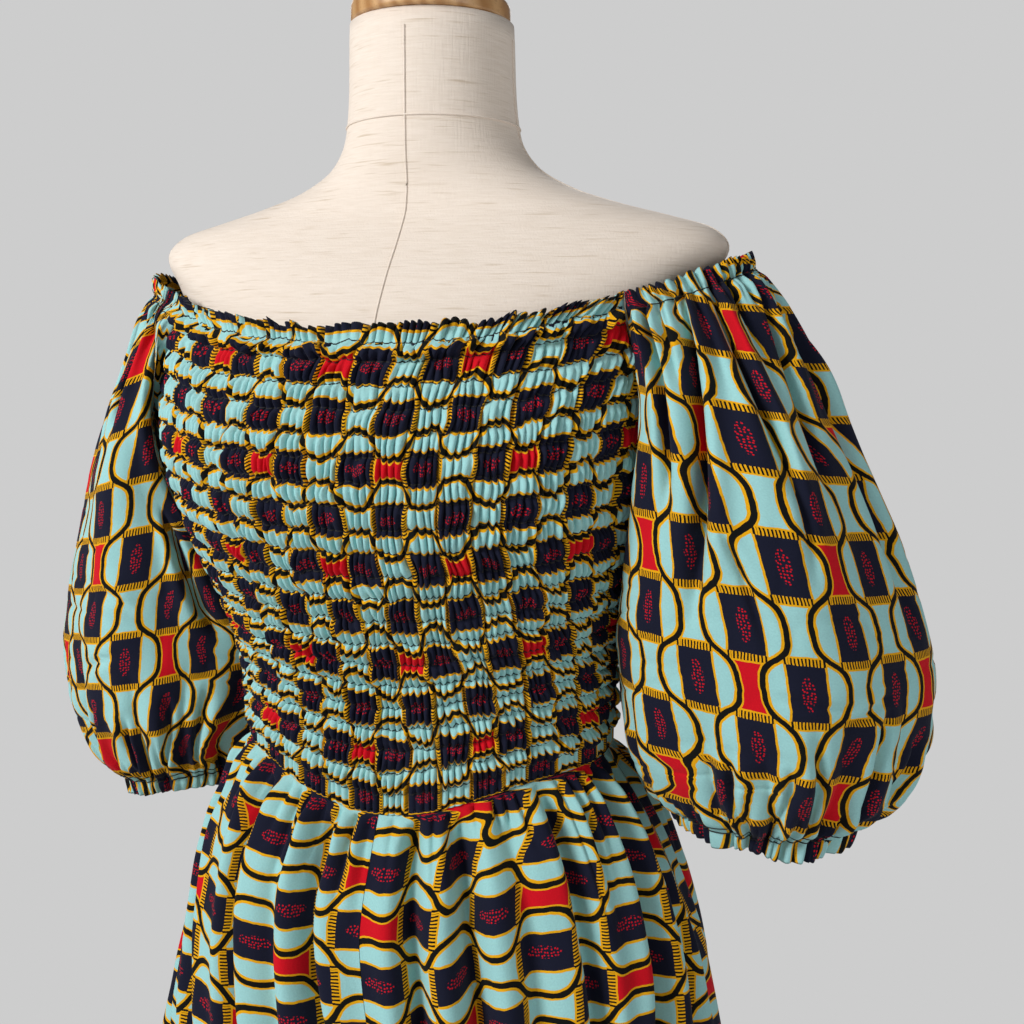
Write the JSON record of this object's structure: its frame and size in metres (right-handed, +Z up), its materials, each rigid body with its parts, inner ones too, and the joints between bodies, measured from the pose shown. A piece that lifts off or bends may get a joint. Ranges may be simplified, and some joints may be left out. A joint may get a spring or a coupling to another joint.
{
  "type": "wide leg jumpsuit on a dress form",
  "caption": "Off-shoulder wide leg jumpsuit in printed cotton, with a shirred bodice and elbow-length puff sleeves, on a limbless dress form with a round stand.",
  "frame": {"origin": "centre of the stand base's underside, on the floor", "axes": "+Z up, the front of the garment faces -Y, and +X is the wearer's left"},
  "size_m": [0.702, 0.38, 1.5423],
  "materials": {
    "printed_cotton": "matte, printed",
    "linen_cover": "matte, natural slub",
    "turned_wood": "satin varnish",
    "painted_steel": "satin"
  },
  "bodies": {
    "root": {"bodice_front": "printed_cotton", "bodice_back": "printed_cotton", "sleeve_left": "printed_cotton", "sleeve_right": "printed_cotton", "leg_left_front": "printed_cotton", "leg_left_back": "printed_cotton", "leg_right_front": "printed_cotton", "leg_right_back": "printed_cotton", "form_torso": "linen_cover", "form_neck_cap": "turned_wood", "stand_pole": "painted_steel", "stand_base": "painted_steel"}
  },
  "joints": []
}
